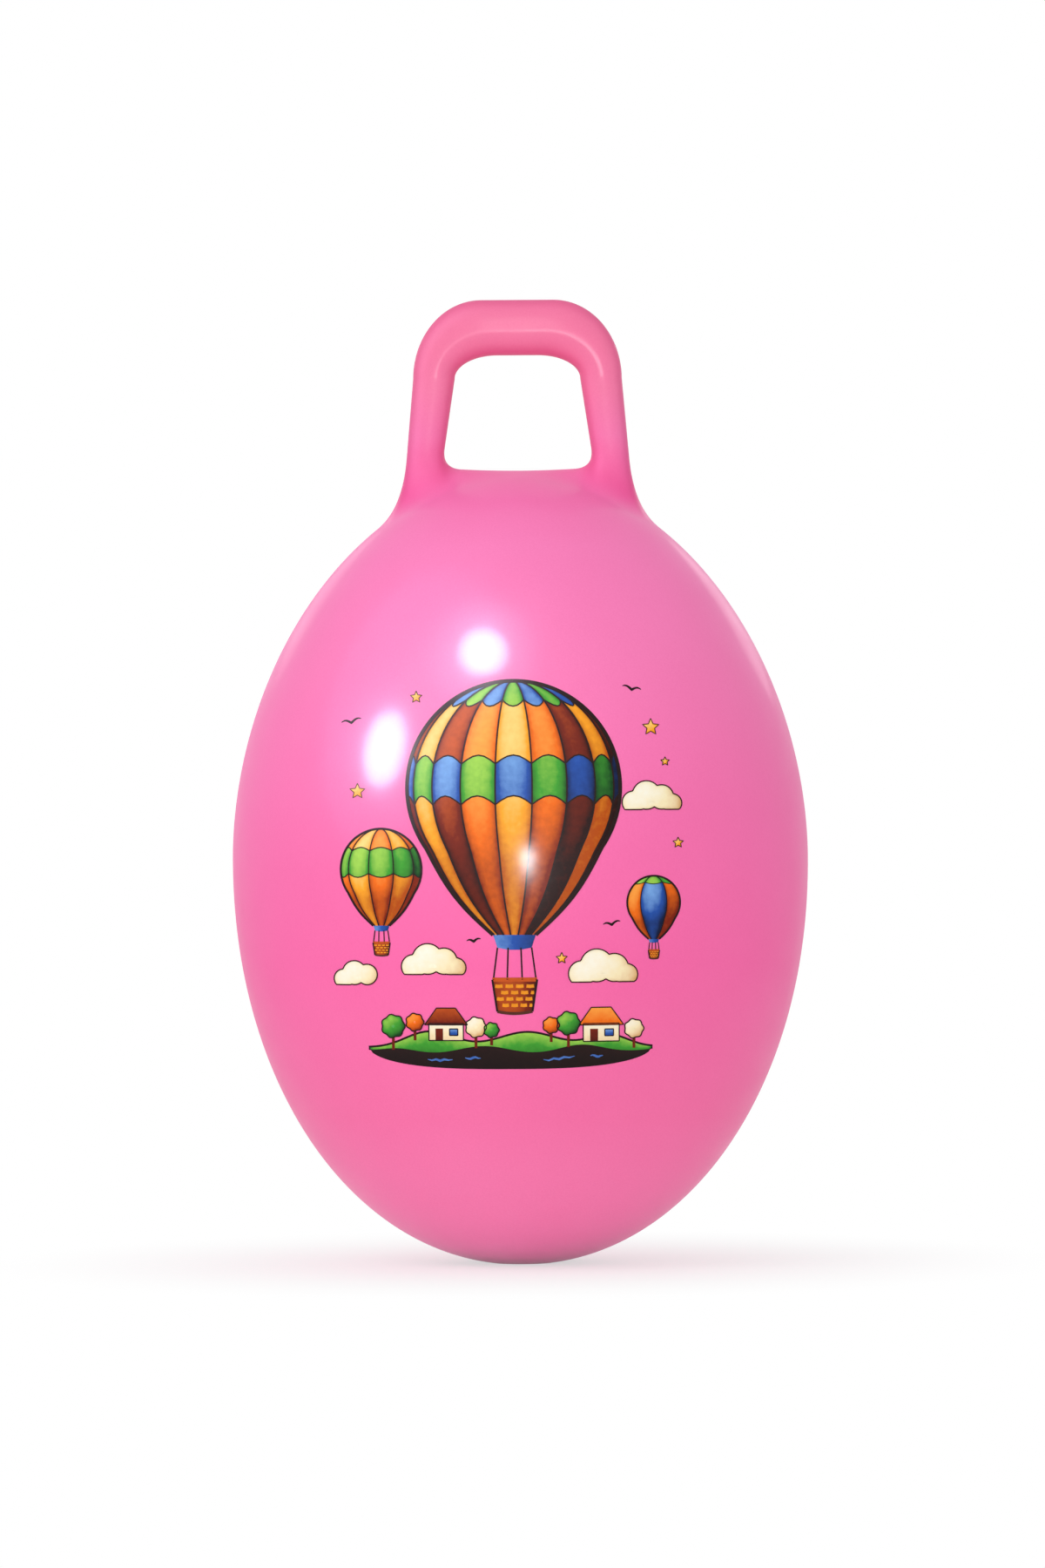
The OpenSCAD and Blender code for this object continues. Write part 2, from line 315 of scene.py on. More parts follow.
def arc(power, reach, angles):
    """Radii and heights of the skin at angles on one half of the ball."""
    return [(BALL_R * math.cos(a) ** (2 / power), WAIST_H + reach * math.sin(a) ** (2 / power))
            for a in angles]


def ball_rings(outline):
    """Rings of the ball, from the middle of the patch it rests on up to the outline of the foot."""
    rest = math.asin((WAIST_H / WAIST_DROP) ** (BASE_POWER / 2))
    last = math.asin(((MORPH_Z - WAIST_H) / CROWN_RISE) ** (CROWN_POWER / 2))
    profile = [(r, 0.0) for r in CAP_RADII]
    profile += arc(BASE_POWER, -WAIST_DROP, np.linspace(rest, 0, LOWER_STEPS, endpoint=False))
    profile += arc(CROWN_POWER, CROWN_RISE, np.linspace(0, last, UPPER_STEPS))
    rings = [np.c_[ball_plan(r), np.full(2 * len(OUTER) - 2, z)] for r, z in profile]
    circle = ball_plan(profile[-1][0])
    for i in range(1, MORPH_STEPS):
        plan = mix(circle, outline[:, :2], i / MORPH_STEPS)
        rings.append(np.c_[plan, skin_z(*plan.T)])
    rings.append(outline)
    return np.array(rings)


def grid_faces(rows, columns, start, flipped):
    i, j = np.meshgrid(np.arange(rows - 1), np.arange(columns), indexing="ij")
    k = (j + 1) % columns
    faces = [i * columns + j, i * columns + k, (i + 1) * columns + k, (i + 1) * columns + j]
    faces = np.stack(faces, -1).reshape(-1, 4) + start
    return faces[:, ::-1] if flipped else faces


def vertex_normals(points, faces):
    """Directions of the surface at its points, by the areas of the faces round each."""
    a, b, c, d = (points[faces[:, k]] for k in range(4))
    cross = np.cross(c - a, d - b)
    normals = np.zeros_like(points)
    for k in range(4):
        np.add.at(normals, faces[:, k], cross)
    return unit(normals)


# Points in the same one of so many steps in a millimetre are one
MERGE_STEPS = 1000


def welded(points, faces, *values):
    """The same net with points that lie on each other made one."""
    keys = np.round(points * MERGE_STEPS).astype(np.int64)
    _, first, place = np.unique(keys, axis=0, return_index=True, return_inverse=True)
    return points[first], place.reshape(-1)[faces], *[v[first] for v in values]


def handle_values(rows, columns):
    """At each point of half the handle: lift, wall, own tone, and painted shade near a parting line."""
    wall = mix(SKIN_T, HANDLE_T, np.clip(np.arange(rows) / APRON_STEPS, 0, 1))
    own = np.repeat(ease((np.arange(rows) - APRON_STEPS) / OWN_TONE_STEPS), columns)
    return np.tile(LIFT, rows), np.repeat(wall, columns), own, own * np.tile(painted_flank_shade(), rows)


def ball_values(rings, columns):
    """The same values at each point of the ball."""
    lift = np.tile(np.r_[LIFT[OUTER], LIFT[OUTER][-2:0:-1]], rings)
    none = np.zeros(rings * columns)
    return lift, np.full(rings * columns, SKIN_T), none, none


def with_parting_line(points, faces, lift, on_ball):
    """The points with the parting line sunk in, and the directions of the surface there."""
    low, high = SEAM_FADE_Z
    plain = vertex_normals(points, faces)
    known = on_ball & (points[:, 2] > low)
    exact = np.where(known[:, None], skin_normal(points), plain)
    lift = lift * ease((points[:, 2] - low) / (high - low))
    points = points + exact * lift[:, None]
    return points, unit(exact + vertex_normals(points, faces) - plain)


def moulded_skin():
    """The outer surface of ball and handle as one net: points, directions, faces, which of them
    are the ball's, the wall, and what the tones follow."""
    half = half_handle()
    rows, columns = half.shape[:2]
    count = rows * columns
    ball = ball_rings(both_halves(half[0][OUTER]))
    nets = half, half * (-1, 1, 1), ball
    points = np.concatenate([net.reshape(-1, 3) for net in nets])
    faces = np.concatenate([grid_faces(rows, columns, 0, False),
                            grid_faces(rows, columns, count, True),
                            grid_faces(*ball.shape[:2], 2 * count, False)])
    is_ball = faces[:, 0] >= 2 * count
    on_ball = np.arange(len(points)) >= 2 * count
    both = zip(handle_values(rows, columns), ball_values(*ball.shape[:2]))
    values = [np.r_[of_handle, of_handle, of_ball] for of_handle, of_ball in both]

    # The ball's points come first, so that shared points count as the ball's
    order = np.r_[2 * count : len(points), 0 : 2 * count]
    faces = np.argsort(order)[faces]
    ordered = [value[order] for value in (*values, on_ball)]
    # Here deep is the painted shade along the handle's flanks
    points, faces, lift, wall, own, deep, on_ball = welded(points[order], faces, *ordered)
    points, normals = with_parting_line(points, faces, lift, on_ball)
    return points, normals, faces, is_ball, wall, {"own_tone": own, "painted_flank_shade": deep}


# The valve's place

VALVE_Y = float(skin_r(VALVE_H))
VALVE_AT = np.array([0, VALVE_Y, VALVE_H])
VALVE_OUT = skin_normal(VALVE_AT)
VALVE_UP = np.array([0, -VALVE_OUT[2], VALVE_OUT[1]])
VALVE_ACROSS = np.array([1.0, 0, 0])

# Rounds in which a place on the skin settles
SETTLE_ROUNDS = 20


def near_valve(across, up, height=0.0):
    """Points on the skin at the back, from places across and up from the valve's axis."""
    out = np.zeros(across.shape)
    for _ in range(SETTLE_ROUNDS):
        z = VALVE_H + up * VALVE_UP[2] + out * VALVE_OUT[2]
        y = np.sqrt(skin_r(z) ** 2 - across**2)
        out = (y - VALVE_Y - up * VALVE_UP[1]) / VALVE_OUT[1]
    points = VALVE_AT + across[..., None] * VALVE_ACROSS + up[..., None] * VALVE_UP
    points = points + out[..., None] * VALVE_OUT
    return points + skin_normal(points) * height


# Faces go where a corner is this near the valve's axis, and not far off along it
CLEARED_R = 8.6
CLEARED_DEPTH = 20.0


def cut_valve_hole(points, normals, faces):
    """Leaves out the faces at the valve, and draws the edge that is left to the round hole."""
    away = points - VALVE_AT
    across, up = away @ VALVE_ACROSS, away @ VALVE_UP
    near = np.abs(away @ VALVE_OUT) < CLEARED_DEPTH
    off_axis = np.where(near, np.hypot(across, up), np.inf)
    dropped = (off_axis[faces] < CLEARED_R).any(1)
    rim = np.intersect1d(faces[dropped].ravel(), faces[~dropped].ravel())
    scale = VALVE_HOLE_R / off_axis[rim]
    points, normals = points.copy(), normals.copy()
    points[rim] = near_valve(across[rim] * scale, up[rim] * scale)
    normals[rim] = skin_normal(points[rim])
    return points, normals, faces[~dropped]


# Meshes


def open_edges(faces):
    """Directed edges of the faces that no other face shares."""
    pairs = np.concatenate([faces[:, [k, (k + 1) % 4]] for k in range(4)])
    pairs = pairs[pairs[:, 0] != pairs[:, 1]]
    size = faces.max() + 1
    return pairs[~np.isin(pairs @ (size, 1), pairs @ (1, size))]


def without_repeats(face):
    return [v for k, v in enumerate(face) if v != face[k - 1]]


def placed(name, data):
    """A new object in the scene, made of some data."""
    thing = bpy.data.objects.new(name, data)
    bpy.context.scene.collection.objects.link(thing)
    return thing


def closed_faces(faces, count):
    """Faces of a sheet, of its inner side, whose points come count later, and of its rims."""
    edges = open_edges(faces)
    rims = np.c_[edges[:, 1], edges[:, 0], edges[:, 0] + count, edges[:, 1] + count]
    every = np.concatenate([faces, faces[:, ::-1] + count, rims])
    return [face for face in map(without_repeats, every.tolist()) if len(face) > 2]


def closed_piece(name, points, normals, faces, wall, **values):
    """An object from an open sheet: the sheet, its inner side one wall further in, and its rims."""
    used, faces = np.unique(faces, return_inverse=True)
    faces = faces.reshape(-1, 4)
    wall = np.broadcast_to(wall, len(points))[used]
    points, normals = points[used], normals[used]
    both = np.concatenate([points, points - normals * wall[:, None]]) * MM
    mesh = bpy.data.meshes.new(name)
    mesh.from_pydata(both.tolist(), [], closed_faces(faces, len(points)))
    mesh.polygons.foreach_set("use_smooth", np.ones(len(mesh.polygons), bool))
    for value_name, value in values.items():
        attribute = mesh.attributes.new(value_name, "FLOAT", "POINT")
        attribute.data.foreach_set("value", np.tile(value[used], 2).astype(np.float32))
    mesh.normals_split_custom_set_from_vertices(np.concatenate([normals, -normals]).tolist())
    mesh.update()
    return placed(name, mesh)


# Materials


def linear(code):
    """A colour in linear light from its usual six-digit code."""
    parts = [int(code[k : k + 2], 16) / 255 for k in (0, 2, 4)]
    return [*((p / 12.92 if p <= 0.04045 else ((p + 0.055) / 1.055) ** 2.4) for p in parts), 1.0]


class Nodes:
    """The nodes of a material or the world."""

    def __init__(self, tree):
        self.tree = tree

    def add(self, kind, inputs=None, **settings):
        node = self.tree.nodes.new("ShaderNode" + kind)
        for key, value in settings.items():
            setattr(node, key, value)
        for key, value in (inputs or {}).items():
            self.set(node.inputs[key], value)
        return node

    def set(self, socket, value):
        if isinstance(value, bpy.types.NodeSocket):
            self.tree.links.new(value, socket)
        else:
            socket.default_value = value

    def sums(self, how, a, b):
        return self.add("Math", {0: a, 1: b}, operation=how).outputs[0]

    def seen(self):
        """1 for what the camera sees, straight or in gloss or through glass, and else 0."""
        path = self.add("LightPath").outputs
        either = self.sums("MAXIMUM", path["Is Camera Ray"], path["Is Glossy Ray"])
        return self.sums("MAXIMUM", either, path["Is Transmission Ray"])

    def mixed(self, share, a, b):
        """The shader of node a where the share is 0, and of node b where it is 1."""
        return self.add("MixShader", {0: share, 1: a.outputs[0], 2: b.outputs[0]}).outputs[0]


class Finish(Nodes):
    """A material, and ways to give it its looks."""

    def __init__(self, name):
        self.material = bpy.data.materials.new(name)
        self.material.use_nodes = True
        super().__init__(self.material.node_tree)
        self.shader = self.tree.nodes["Principled BSDF"]

    def shade(self, **values):
        for key, value in values.items():
            self.set(self.shader.inputs[key.replace("_", " ")], value)

    def place(self):
        return self.add("TexCoord").outputs["Object"]

    def noise(self, scale, detail=2.0, rough=0.5):
        inputs = {"Vector": self.place(), "Scale": scale, "Detail": detail, "Roughness": rough}
        return self.add("TexNoise", inputs).outputs["Fac"]

    def ramp(self, value, *stops):
        """A colour ramp: each stop is a place from 0 to 1 and a colour."""
        node = self.add("ValToRGB", {"Fac": value})
        for k, (at, colour) in enumerate(stops):
            element = node.color_ramp.elements[k] if k < 2 else node.color_ramp.elements.new(at)
            element.position = at
            element.color = colour
        return node.outputs["Color"]

    def by_height(self, tones):
        """A colour by height: each tone is a height in metres and a colour's code."""
        low, high = tones[0][0], tones[-1][0]
        z = self.add("SeparateXYZ", {"Vector": self.place()}).outputs["Z"]
        stops = [((at - low) / (high - low), linear(code)) for at, code in tones]
        return self.ramp(self.spread(z, low, high, 0.0, 1.0), *stops)

    def between(self, factor, a, b):
        return self.add("Mix", {0: factor, 6: a, 7: b}, data_type="RGBA").outputs[2]

    def spread(self, value, low, high, to_low, to_high, smooth=False):
        kind = "SMOOTHSTEP" if smooth else "LINEAR"
        inputs = {"Value": value, "From Min": low, "From Max": high, "To Min": to_low, "To Max": to_high}
        return self.add("MapRange", inputs, interpolation_type=kind).outputs["Result"]

    def uneven(self, noise, low, high, start=0.3, end=0.7):
        """A value that wanders from low to high, as a noise goes from start to end."""
        return self.spread(self.noise(*noise), start, end, low, high)

    def bump(self, height, distance):
        return self.add("Bump", {"Height": height, "Distance": distance}).outputs["Normal"]


# Noises of the surfaces: scale, detail and, where it isn't 0.5, roughness
SKIN_FINE = (520.0, 3.0)
SKIN_WAVE = (9.0, 1.0)
SKIN_CLOUD = (7.0, 3.0, 0.6)
SKIN_GRAIN = (900.0, 2.0)
SKIN_PATCHES = (35.0, 4.0)
INK_MOTTLE = (260.0, 3.0)
INK_PATCHES = (420.0, 2.0)
VALVE_CLOUD = (160.0, 4.0, 0.6)
VALVE_GRAIN = (2500.0, 2.0)
VALVE_PATCHES = (600.0, 3.0)

# What they do: bumps in metres, most of the deeper tone, change of shading, and roughness
FINE_SHARE = 0.12
SKIN_BUMP = 0.0002
VALVE_BUMP = 0.00003
DEEPEN = 0.10
MOTTLED = 0.05
SKIN_ROUGH = (0.44, 0.54)
INK_ROUGH = (0.34, 0.46)

# The gloss is a clear coat: its weight on the skin and its roughness
PLASTIC_IOR = 1.5
UNDER_COAT = 0.05
BALL_GLOSS = 0.16
HANDLE_GLOSS = 0.03
SKIN_COAT_ROUGH = 0.15
VALVE_COAT_ROUGH = 0.2


def moulded_surface(finish):
    """The small unevenness of moulded soft PVC: a fine orange peel on a slow, faint wave."""
    fine = finish.sums("MULTIPLY", finish.noise(*SKIN_FINE), FINE_SHARE)
    return finish.bump(finish.sums("ADD", fine, finish.noise(*SKIN_WAVE)), SKIN_BUMP)


def gloss(finish, coat):
    """The wet-looking gloss that the skin and the ink on it share."""
    finish.shade(IOR=PLASTIC_IOR, Specular_IOR_Level=UNDER_COAT, Coat_Weight=coat)
    finish.shade(Coat_Roughness=SKIN_COAT_ROUGH, Coat_IOR=PLASTIC_IOR)


# Tones of the ball and of the handle by height, and a deeper one for random clouds and grain and for
# painted shade at the parting line. The ball's tones hold painted light: paler at the bottom against
# the shade near the floor, and paler high up as a painted sheen. The handle's are deepest at its roots.
BALL_TONES_WITH_PAINTED_LIGHT = ((0.0, "FFA6D2"), (0.02, "FF92C4"), (0.04, "FF8BBE"), (0.10, "FA79AF"),
              (0.20, "F96DAC"), (0.30, "F976B3"), (0.40, "F980BA"), (0.47, "F981BC"),
              (0.525, "F873B2"))
HANDLE_TONES = ((0.505, "F0599B"), (0.546, "F07BAE"), (0.575, "EF7DA6"), (0.605, "EE79A0"))
SKIN_DEEP = "DC3F80"
FLANK_SHADE_DEEP = 0.34

# The valve's two parts: deep and pale tone, roughness, and weight of the coat
SEAT = (("E2568F", "EE6C9F"), (0.34, 0.5), 0.5)
PLUG = (("E6E4DC", "F4F3EE"), (0.28, 0.4), 0.3)


def skin_finish():
    """Glossy pink PVC, deeper in the thick handle, with painted light in the ball's tones by height and
    painted shade on the handle's flanks.
    """
    finish = Finish("moulded_pvc")
    own = finish.add("Attribute", attribute_name="own_tone").outputs["Fac"]
    flank_shade = finish.add("Attribute", attribute_name="painted_flank_shade").outputs["Fac"]
    # The ball's tones by height carry painted light: paler at the bottom and high up
    colour = finish.between(own, finish.by_height(BALL_TONES_WITH_PAINTED_LIGHT), finish.by_height(HANDLE_TONES))
    # The first deepening is painted shade along the handle's flanks; the clouds and grain are random
    # tone
    for deeper in (finish.spread(flank_shade, 0.0, 1.0, 0.0, FLANK_SHADE_DEEP),
                   finish.uneven(SKIN_CLOUD, 0.0, DEEPEN),
                   finish.uneven(SKIN_GRAIN, 0.0, DEEPEN, 0.35, 0.75)):
        colour = finish.between(deeper, colour, linear(SKIN_DEEP))
    finish.shade(Base_Color=colour, Roughness=finish.uneven(SKIN_PATCHES, *SKIN_ROUGH))
    finish.shade(Normal=moulded_surface(finish))
    gloss(finish, finish.spread(own, 0.0, 1.0, BALL_GLOSS, HANDLE_GLOSS))
    return finish.material


def ink_finish(name, dark, middle, light):
    """Printing ink under the gloss, in tones that follow the shading of the drawing."""
    finish = Finish(name)
    shade = finish.add("Attribute", attribute_name="shade").outputs["Fac"]
    tone = finish.sums("ADD", shade, finish.uneven(INK_MOTTLE, -MOTTLED, MOTTLED))
    colour = finish.ramp(tone, (0.0, linear(dark)), (1.0, linear(light)), (0.5, linear(middle)))
    finish.shade(Base_Color=colour, Roughness=finish.uneven(INK_PATCHES, *INK_ROUGH))
    finish.shade(Normal=moulded_surface(finish))
    gloss(finish, BALL_GLOSS)
    return finish.material


def valve_finish(name, tones, rough, coat):
    """Moulded plastic with a fine grain and a little dirt in its tone."""
    finish = Finish(name)
    colour = finish.between(finish.noise(*VALVE_CLOUD), *map(linear, tones))
    grain = finish.bump(finish.noise(*VALVE_GRAIN), VALVE_BUMP)
    finish.shade(Base_Color=colour, Roughness=finish.uneven(VALVE_PATCHES, *rough), Normal=grain)
    finish.shade(IOR=PLASTIC_IOR, Coat_Weight=coat)
    finish.shade(Coat_Roughness=VALVE_COAT_ROUGH, Coat_IOR=PLASTIC_IOR)
    return finish.material


def give(piece, material):
    piece.data.materials.clear()
    piece.data.materials.append(material)


# The print

# Dark, middle and light tone of each ink
INKS = {
    "orange": ("7A1E04", "EE6C10", "FFB04C"),
    "yellow": ("B04A06", "FBA624", "FFE08A"),
    "brown": ("220604", "74200C", "D05A1C"),
    "green": ("0C3A16", "3F9C30", "B4E25A"),
    "blue": ("0A1638", "2450A6", "86B8F0"),
    "cream": ("D8A468", "F8E8BC", "FFFEF4"),
    "line": ("120808", "241210", "5A3020"),
}

# How thick the ink is, and how much further out each layer of the drawing lies
INK_T = 0.05
LAYER_STEP = 0.07


class Sheet:
    """What one ink prints: places in the picture, their shading and the layer they lie in."""

    def __init__(self):
        self.places, self.shades, self.lifts, self.faces = [], [], [], []
        self.count = 0

    def lay(self, places, shades, layer):
        """Adds a grid of places. Its faces are turned outwards."""
        rows, columns = places.shape[:2]
        faces = grid_faces(rows, columns, 0, False)
        faces = faces[faces[:, 1] % columns != 0]
        flat = places.reshape(-1, 2)
        a, b, c, d = (flat[faces[:, k]] for k in range(4))
        one, two = c - a, d - b
        if (one[:, 0] * two[:, 1] - one[:, 1] * two[:, 0]).sum() < 0:
            faces = faces[:, ::-1]
        self.places.append(flat)
        self.shades.append(np.broadcast_to(shades, (rows, columns)).reshape(-1))
        self.lifts.append(np.full(rows * columns, INK_T + LAYER_STEP * layer))
        self.faces.append(faces + self.count)
        self.count += rows * columns


sheets = {ink: Sheet() for ink in INKS}


def ring_of(n):
    return np.linspace(0, 2 * np.pi, n, endpoint=False)


def aims(turn):
    """Directions in the picture, from their turns."""
    return np.stack([np.cos(turn), np.sin(turn)], -1)


def closed(line):
    """A line that ends where it starts."""
    return np.concatenate([line, line[:1]])


def stroke(line, width, layer, shade=0.4, ink="line"):
    """A drawn line: a ribbon along points, whose width may change along it."""
    line = np.asarray(line, float)
    ahead = unit(np.gradient(line, axis=0))
    side = ahead[:, ::-1] * (-1, 1) * np.broadcast_to(width, len(line))[:, None] / 2
    sheets[ink].lay(np.stack([line - side, line, line + side], 1), shade, layer)


# How a filled shape gets lighter upwards and to the left, over some times its reach
LIT_UP = 0.75
LIT_LEFT = 0.5
LIT_REACH = 1.8


def blob(ink, centre, outline, layer, low, high, edge, line, rings=7):
    """A filled shape round a centre, shaded from low to high and darker along its edge, with an
    outline. Its line is a width, a layer and a shade."""
    centre = np.array(centre)
    arm = closed(outline - centre)
    t = np.linspace(0, 1, rings)[:, None]
    places = centre + arm[None] * t[..., None]
    across, up = np.moveaxis(places - centre, -1, 0)
    lit = 0.5 + (up * LIT_UP - across * LIT_LEFT) / (LIT_REACH * np.abs(arm).max())
    sheets[ink].lay(places, np.clip(mix(low, high, lit) - edge * t**5, 0, 1), layer)
    stroke(closed(outline), *line)


# A balloon of radius one: its mouth, the turn where its round part ends, and the bow from there
MOUTH = np.array([0.2, -1.38])
ENVELOPE_TURN = -35.0
ENVELOPE_BOW = np.array([0.05, -0.035])


def envelope():
    """Half width and height of a balloon of radius one, from its top to its mouth."""
    curve = aims(np.radians(np.linspace(90, ENVELOPE_TURN, 60)))
    t = np.linspace(0, 1, 30)[1:, None]
    straight = mix(curve[-1], MOUTH, t) + ENVELOPE_BOW * np.sin(np.pi * t)
    path = np.concatenate([curve, straight])
    far = np.r_[0, np.cumsum(np.linalg.norm(np.diff(path, axis=0), axis=1))]
    return far / far[-1], path


ENVELOPE_AT, ENVELOPE_PATH = envelope()


# Its cloth: the least tone, what light adds, from the right, the front and above, what the seams
# take away, and the places across a gore
CLOTH_LEAST = 0.16
CLOTH_GAIN = 0.78
CLOTH_LIGHT = (-0.42, 0.70, 0.52)
SEAM_SHADE = 0.45
FOLDS = 7

# Its skirt from the lower edge up, with shades from left to right, the upper and lower ends of its
# ropes, and its basket with the woven strands
SKIRT = np.array([[[-0.16, -1.5], [-0.055, -1.52], [0.055, -1.52], [0.16, -1.5]],
                  [[-0.2, -1.38], [-0.07, -1.38], [0.07, -1.38], [0.2, -1.38]]])
SKIRT_SHADES = (0.7, 0.6, 0.4, 0.2)
SKIRT_FOOT = -1.5
ROPES = ((-0.16, -0.2), (-0.06, -0.07), (0.06, 0.07), (0.16, 0.2))
BASKET_RIM = -1.80
BASKET_FOOT = -2.10
BASKET_HALF = (0.21, 0.165)
BASKET_SAG = -0.02
WEAVE_HALF = (0.2, 0.165)
WEAVE_ROWS = 4
WEAVE_STRANDS = 4


class Balloon:
    """A hot-air balloon in the picture."""

    def __init__(self, x, z, radius, gores):
        self.centre = np.array([x, z])
        self.radius = radius
        self.gores = gores
        self.edges = np.linspace(-90, 90, len(gores) + 1)

    def at(self, places):
        return self.centre + np.array(places) * self.radius

    def on_cloth(self, lam, s):
        """Places on the cloth, by the longitude in degrees and the way down it."""
        wide, high = (np.interp(s, ENVELOPE_AT, line) for line in ENVELOPE_PATH.T)
        return self.at(np.stack([wide * np.sin(np.radians(lam)), high], -1))

    def lit(self, lam, s, fold):
        """How light the cloth is: a round form, puffed between seams."""
        high = np.interp(s, ENVELOPE_AT, ENVELOPE_PATH[:, 1])
        turn, up = np.radians(lam), np.clip(high, -0.75, 1)
        out = np.sqrt(np.maximum(1 - up**2, 0))
        right, front, above = CLOTH_LIGHT
        light = right * out * np.sin(turn) + front * out * np.cos(turn) + above * up
        return np.clip(CLOTH_LEAST + CLOTH_GAIN * light - SEAM_SHADE * np.abs(2 * fold - 1) ** 3, 0, 1)

    def panel(self, ink, first, last, top, bottom, layer, rows=30):
        """One gore's cloth, or a part of it between two lines across it."""
        fold = np.linspace(0, 1, FOLDS)
        down = np.linspace(0, 1, rows)[:, None]
        lam = mix(first, last, fold)[None]
        s = mix(np.broadcast_to(top, FOLDS), np.broadcast_to(bottom, FOLDS), down)
        sheets[ink].lay(self.on_cloth(lam, s), self.lit(lam, s, fold[None]), layer)

    def draw(self, thin, thick):
        for ink, first, last in zip(self.gores, self.edges, self.edges[1:]):
            self.panel(ink, first, last, 0.0, 1.0, 0)
        for lam in self.edges[1:-1]:
            stroke(self.on_cloth(lam, np.linspace(0.005, 1, 40)), thin, 3)
        for lam in (-90, 90):
            stroke(self.on_cloth(lam, np.linspace(0, 1, 60)), thick, 3)
        self.skirt_and_basket(thin, thick)

    def band(self, inks, top, bottom, top_wave, bottom_wave, thin):
        """A band across all gores, whose edges bow within each."""
        bow = np.sin(np.pi * np.linspace(0, 1, FOLDS))
        high, low = top + top_wave * bow, bottom + bottom_wave * bow
        for k, (first, last) in enumerate(zip(self.edges, self.edges[1:])):
            self.panel(inks[k % len(inks)], first, last, high, low, 1, 8)
            lam = np.linspace(first, last, FOLDS)
            for s in (high, low):
                if s.max() > 0.01:
                    stroke(self.on_cloth(lam, s), thin, 3)

    def skirt_and_basket(self, thin, thick):
        sheets["blue"].lay(self.at(SKIRT), SKIRT_SHADES, 1)
        for high, low in ROPES:
            middle = [(high + low) / 2, (SKIRT_FOOT + BASKET_RIM) / 2]
            stroke(self.at([[high, SKIRT_FOOT], middle, [low, BASKET_RIM]]), thin, 2)
        across = np.linspace(-1, 1, 9)
        down = np.linspace(0, 1, 6)[:, None]
        height = mix(BASKET_RIM, BASKET_FOOT, down) + BASKET_SAG * (1 - across**2) * down
        wicker = np.stack([mix(*BASKET_HALF, down) * across, height], -1)
        sheets["brown"].lay(self.at(wicker), 0.75 - 0.35 * across**2 - 0.2 * across, 0)
        self.weave()
        stroke(self.at(wicker[0]), thick * 1.1, 2, 0.9, "brown")
        stroke(self.at(wicker[-1]), thick * 0.8, 2, 0.9)
        for side in (0, -1):
            stroke(self.at(wicker[:, side]), thin * 1.3, 3)

    def weave(self):
        """Pale strands across the basket, set like bricks."""
        for row in range(WEAVE_ROWS):
            z = mix(BASKET_RIM, BASKET_FOOT, (row + 1) / (WEAVE_ROWS + 1))
            half = mix(*WEAVE_HALF, (row + 0.5) / WEAVE_ROWS)
            for k in range(WEAVE_STRANDS):
                x0 = -half + 2 * half * (k + 0.12 + 0.5 * (row % 2)) / WEAVE_STRANDS
                x1 = min(x0 + half * 0.36, half * 0.97)
                if x1 > x0 + 0.01:
                    strand = [[x0, z], [(x0 + x1) / 2, z - 0.004], [x1, z]]
                    stroke(self.at(strand), 0.032 * self.radius, 1, 0.35, "yellow")


CLOUD_FOOT = 0.36
CLOUD_LEAST = 0.2


def cloud(x, z, lobes, scale):
    """A cloud of round lobes with a flat foot."""
    aim = aims(ring_of(120))
    reach = np.full(len(aim), CLOUD_LEAST)
    for lobe_x, lobe_z, r in lobes:
        along = aim @ np.array([lobe_x, lobe_z])
        inside = r * r - (lobe_x * lobe_x + lobe_z * lobe_z) + along**2
        reach = np.maximum(reach, np.where(inside > 0, along + np.sqrt(np.maximum(inside, 0)), 0))
    foot = CLOUD_FOOT / np.maximum(-aim[:, 1], 1e-3)
    reach = np.where(aim[:, 1] < 0, np.minimum(reach, foot), reach)
    outline = np.array([x, z]) + aim * reach[:, None] * scale
    blob("cream", (x, z), outline, 0, 0.15, 1.1, 0.35, (0.8, 3, 0.6))


STAR_WAIST = 0.46


def star(x, z, r):
    """A five-pointed star."""
    reach = np.where(np.arange(10) % 2 == 0, r, STAR_WAIST * r)
    corners = closed(np.array([x, z]) + aims(np.pi * (0.5 + np.arange(10) / 5)) * reach[:, None])
    part = np.linspace(0, 1, 4, endpoint=False)[:, None]
    outline = np.concatenate([mix(a, b, part) for a, b in zip(corners, corners[1:])])
    blob("yellow", (x, z), outline, 0, 0.3, 1.0, 0.2, (0.55, 2, 0.7), 4)


def bird(x, z, span, tilt):
    """A far-off bird, drawn as one line."""
    t = np.linspace(-1, 1, 21)
    wing = np.stack([t * span / 2, np.abs(np.sin(t * 2.4)) * span * 0.17 + t * tilt], -1)
    stroke(wing + np.array([x, z]), 0.35 + 1.3 * (1 - np.abs(t)) ** 0.6, 1, 0.3)


def hill_line(x, peaks):
    return sum(h * np.exp(-(((x - at) / w) ** 2)) for at, w, h in peaks)


def patch(ink, corners, shades, layer):
    """A four-cornered patch: low left, low right, high left, high right."""
    a, b, c, d = np.array(corners)
    u = np.linspace(0, 1, 6)[:, None]
    v = np.linspace(0, 1, 4)
    rows = [mix(mix(a, b, u), mix(c, d, u), up) for up in v]
    sheets[ink].lay(np.array(rows), mix(*shades, v)[:, None], layer)


def outlined(corners, width, layer):
    """The outline of a patch."""
    a, b, d, c = np.array(corners)
    for one, two in ((a, b), (b, c), (c, d), (d, a)):
        stroke(mix(one, two, np.linspace(0, 1, 5)[:, None]), width, layer, 0.3)


